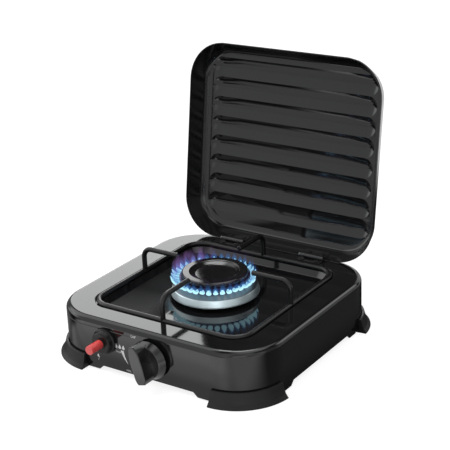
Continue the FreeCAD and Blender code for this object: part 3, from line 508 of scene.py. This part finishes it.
bm = bmesh.new()
profile = bmesh.ops.create_circle(bm, cap_ends=False, segments=14, radius=1.0)["verts"]
bmesh.ops.transform(bm, matrix=Matrix.Rotation(math.radians(90), 4, "X"), verts=profile)
bmesh.ops.scale(bm, vec=(0.0016, 1.0, 0.011), verts=profile)
bmesh.ops.translate(bm, vec=(0.0478, 0, slot_z + 0.0085), verts=profile)
bmesh.ops.spin(bm, geom=list(bm.verts) + list(bm.edges), cent=(0, 0, 0), axis=(0, 0, 1),
               angle=math.tau, steps=72, use_merge=True)
bmesh.ops.translate(bm, vec=(burner_x, burner_y, 0), verts=list(bm.verts))
veil = piece("flame_veil", bm, "stove", veil_finish())
print("veil", len(veil.data.polygons), "faces")

# %% [markdown]
# White marks are screen-printed on the front: OFF above the knob, three small flames and MAX at
# the left, a wedge that thins down to MIN, and a spark beside the igniter. Letters come from
# Blender's own font, turned into a mesh and laid 0.05 mm proud of the enamel.

# %% Printed marks
panel_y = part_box("base_shell")[0].y
print_white, tree, shader = finish("print_white", IOR=1.45)
fade = tree.noise(700.0, 2.0)
tree.put(shader.inputs["Base Color"], tree.blend(fade, rgb(0.80, 0.81, 0.82), rgb(0.92, 0.92, 0.92)))
tree.put(shader.inputs["Roughness"], tree.spread(fade, 0.3, 0.7, 0.4, 0.55))
proud = 0.00005
print_depth = 0.00004


def onto_panel(x, z, turn=0.0):
    stand = Matrix.Rotation(math.radians(90), 4, "X")
    place = Matrix.Translation((x * MM, panel_y - proud, z * MM))
    return place @ stand @ Matrix.Rotation(math.radians(turn), 4, "Z")


def word(name, text, x, z, height):
    curve = bpy.data.curves.new(name, "FONT")
    curve.body = text
    curve.size = height * MM / 0.7
    curve.align_x = "CENTER"
    curve.align_y = "CENTER"
    curve.extrude = 0.00002
    curve.resolution_u = 3
    holder = bpy.data.objects.new(name + "_curve", curve)
    bpy.context.scene.collection.objects.link(holder)
    bpy.context.view_layer.update()
    mesh = bpy.data.meshes.new_from_object(holder.evaluated_get(bpy.context.evaluated_depsgraph_get()))
    bpy.data.objects.remove(holder)
    bm = bmesh.new()
    bm.from_mesh(mesh)
    bpy.data.meshes.remove(mesh)
    bmesh.ops.transform(bm, matrix=onto_panel(x, z), verts=bm.verts)
    return piece(name, bm, "stove", print_white, False)


word("mark_off", "OFF", -16.0, 53.7, 2.9)
word("mark_max", "MAX", -37.4, 30.2, 2.4)
word("mark_min", "MIN", -25.2, 9.9, 2.4)
print("three words")

# %% [markdown]
# The wedge is a ribbon that bends round the knob and grows wider towards MAX. A flat grid is
# bent to pairs of points about the knob's centre, then given a hair of thickness. The small flames
# and the spark are strips too.

# %% Wedge and small flames
knob_x, knob_z = 7.5, 33.0


def print_strip(name, rungs):
    """A flat ribbon through pairs of points (x, z) in mm on the front, with a hair of thickness."""
    bm = bmesh.new()
    bmesh.ops.create_grid(bm, x_segments=len(rungs) - 1, y_segments=1, size=1.0)
    across = sorted(bm.verts, key=lambda vert: (round(vert.co.x, 4), vert.co.y))
    points = [point for rung in rungs for point in rung]
    for vert, (x, z) in zip(across, points):
        vert.co = (x * MM, panel_y - proud, z * MM)
    lifted = bmesh.ops.extrude_face_region(bm, geom=list(bm.faces))["geom"]
    raised = [g for g in lifted if isinstance(g, bmesh.types.BMVert)]
    bmesh.ops.translate(bm, vec=(0, print_depth, 0), verts=raised)
    return piece(name, bm, "stove", print_white, False)


wedge = []
for step in range(13):
    angle = math.radians(180 + step * 2.0)
    inner = 38.0 - 2.0 * step / 12
    outer = inner + 3.8 * (1 - step / 12) + 0.3
    wedge.append(((knob_x + inner * math.cos(angle), knob_z + inner * math.sin(angle)),
                  (knob_x + outer * math.cos(angle), knob_z + outer * math.sin(angle))))
print_strip("mark_wedge", wedge)
for number in range(3):
    x = -40.6 + number * 4.9
    print_strip("mark_flame_%d" % number, [
        ((x - 1.2, 34.6), (x + 1.2, 34.6)), ((x - 1.9, 35.8), (x + 1.9, 35.8)),
        ((x - 1.5, 37.2), (x + 1.5, 37.2)), ((x - 0.5, 38.6), (x + 0.7, 38.4)),
        ((x + 0.1, 39.9), (x + 0.4, 39.9))])
print_strip("mark_spark", [((-68.0, 20.6), (-66.8, 20.4)), ((-68.6, 17.6), (-66.2, 18.0)),
                           ((-66.6, 16.6), (-65.8, 17.2)), ((-67.8, 13.2), (-67.3, 13.4))])
print("wedge, flames and spark printed")

# %% [markdown]
# The stage is one pale floor. The camera sees it and the background white, and the stove's
# shadow still falls on it. Enamel is mostly mirror, so what it mirrors matters more than lamps: the
# floor that reflections see is lit in patches, and their places and levels are listed below.

# %% Floor
bm = bmesh.new()
bmesh.ops.create_grid(bm, x_segments=1, y_segments=1, size=6.0)
mesh = bpy.data.meshes.new("studio_floor")
bm.to_mesh(mesh)
bm.free()
floor = bpy.data.objects.new("studio_floor", mesh)
bpy.context.scene.collection.objects.link(floor)
floor_paper = bpy.data.materials.new("floor_paper")
tree = Tree(floor_paper)
path = tree.add("LightPath")
spot = tree.add("SeparateXYZ", Vector=tree.place())


def within(value, low, high, soft):
    """1 between low and high, falling to 0 over soft on each side."""
    rise = tree.spread(value, low - soft / 2, low + soft / 2, 0.0, 1.0, True)
    fall = tree.spread(value, high - soft / 2, high + soft / 2, 1.0, 0.0, True)
    return tree.math("MULTIPLY", rise, fall)


floor_patches = {
    "front_near": (-0.20, 0.11, -0.20, -0.14, 0.03, 0.65),
    "front_middle": (-0.24, 0.11, -0.32, -0.20, 0.06, 1.60),
    "front_far": (-0.60, 0.11, -0.75, -0.32, 0.10, 0.80),
    "front_horizon": (-5.0, 0.60, -5.0, -0.75, 0.20, 0.80),
    "left": (-1.50, -0.16, -0.14, 0.60, 0.06, 0.22),
    "right": (0.15, 1.50, -0.14, 0.60, 0.06, 0.09),
    "front_right": (0.11, 1.50, -0.75, -0.14, 0.08, 1.15),
    "back": (-1.50, 1.50, 0.60, 5.0, 0.20, 1.20),
}
mirror_level = 0.004
for name, (x0, x1, y0, y1, soft, level) in floor_patches.items():
    patch = tree.math("MULTIPLY", within(spot.outputs["X"], x0, x1, soft),
                      within(spot.outputs["Y"], y0, y1, soft))
    lit = tree.add("Math", {"operation": "MULTIPLY", "name": "patch_" + name}, i0=patch, i1=level)
    mirror_level = tree.math("ADD", mirror_level, lit.outputs[0])
paper = tree.add("BsdfDiffuse", Color=rgb(0.36, 0.36, 0.36))
glow = tree.add("Emission", Color=rgb(1, 1, 1), Strength=0.84)
seen = tree.add("AddShader", i0=paper.outputs[0], i1=glow.outputs[0])
mirrored = tree.add("Emission", Color=rgb(1, 1, 1), Strength=mirror_level)
by_camera = tree.add("MixShader", i0=path.outputs["Is Camera Ray"], i1=paper.outputs[0], i2=seen.outputs[0])
by_mirror = tree.add("MixShader", i0=path.outputs["Is Glossy Ray"], i1=by_camera.outputs[0],
                     i2=mirrored.outputs[0])
tree.add("OutputMaterial", Surface=by_mirror.outputs[0])
mesh.materials.append(floor_paper)
print("floor 12 m square,", len(floor_patches), "patches")

# %% [markdown]
# Soft round cards, like those round a studio table, are painted on the world by direction, and
# only reflections see them. The world itself is white to the camera and an even grey to everything
# dull. A bearing is 0 towards the back, 90 to the right; a height is degrees above the table. Where
# real cards stood isn't known: places and levels were set until the render's brightness came
# near the photograph's.

# %% World
world = bpy.data.worlds.new("studio")
bpy.context.scene.world = world
tree = Tree(world)
path = tree.add("LightPath")
sky = tree.add("TexCoord").outputs["Generated"]


def card(name, bearing, height, inner, outer, level):
    """A round soft card: full level within inner degrees of its middle, gone at outer degrees."""
    a, e = math.radians(bearing), math.radians(height)
    toward = (math.sin(a) * math.cos(e), math.cos(a) * math.cos(e), math.sin(e))
    near = tree.add("VectorMath", {"operation": "DOT_PRODUCT"}, i0=sky, i1=toward).outputs["Value"]
    edge = tree.add("MapRange", {"interpolation_type": "SMOOTHSTEP", "name": "card_" + name}, i0=near,
                    i1=math.cos(math.radians(outer)), i2=math.cos(math.radians(inner)), i3=0.0, i4=level)
    return edge.outputs["Result"]


studio_cards = {
    "back": (-35, 15.5, 13.5, 17, 3.1),
    "back_above": (-35, 38, 6, 16, 0.2),
    "back_arc": (-37, 56, 7, 12, 5.0),
    "back_left": (-68, 16, 10, 24, 0.3),
    "back_middle": (-2, 16, 8, 20, 0.8),
    "left_low": (-100, 8, 12, 28, 1.2),
    "left_high": (-85, 45, 14, 30, 1.7),
    "top": (45, 78, 12, 26, 1.5),
    "back_top": (-10, 60, 10, 22, 1.0),
    "front_top": (146, 54, 14, 32, 0.8),
    "behind_camera": (146, 8, 8, 20, 1.6),
    "front_left": (-146, 12, 38, 56, 0.85),
    "front_low": (170, 10, 10, 24, 0.3),
    "front_right": (112, 20, 14, 32, 0.8),
    "right": (75, 20, 14, 32, 0.3),
    "right_back": (26, 32, 6, 16, 2.0),
    "right_back_low": (40, 6, 8, 22, 0.6),
}
total = 0.01
for name, (bearing, height, inner, outer, level) in studio_cards.items():
    total = tree.math("ADD", total, card(name, bearing, height, inner, outer, level))
dull_light = tree.add("Background", Color=rgb(1, 1, 1), Strength=0.75)
mirror_light = tree.add("Background", Color=rgb(0.99, 1.0, 1.0), Strength=total)
white = tree.add("Background", Color=rgb(1, 1, 1), Strength=1.0)
first = tree.add("MixShader", i0=path.outputs["Is Glossy Ray"], i1=dull_light.outputs[0],
                 i2=mirror_light.outputs[0])
clear = tree.math("MAXIMUM", path.outputs["Is Camera Ray"], path.outputs["Is Transmission Ray"])
second = tree.add("MixShader", i0=clear, i1=first.outputs[0], i2=white.outputs[0])
tree.add("OutputWorld", Surface=second.outputs[0])
print("cards", len(studio_cards))

# %% [markdown]
# One large lamp high at the front left gives the dull parts a side, and the floor a soft shadow. It
# isn't mirrored, because the cards already are.

# %% Lamp
lamp_data = bpy.data.lights.new("soft_key", "AREA")
lamp_data.shape = "DISK"
lamp_data.size = 1.4
lamp_data.energy = 14.0
lamp = bpy.data.objects.new("soft_key", lamp_data)
bpy.context.scene.collection.objects.link(lamp)
lamp.location = (-0.9, -0.9, 1.7)
lamp.rotation_mode = "QUATERNION"
lamp.rotation_quaternion = (Vector(lamp.location) - Vector((0, 0, 0.05))).to_track_quat("Z", "Y")
lamp.visible_glossy = False
print("lamp", lamp_data.energy, "W")
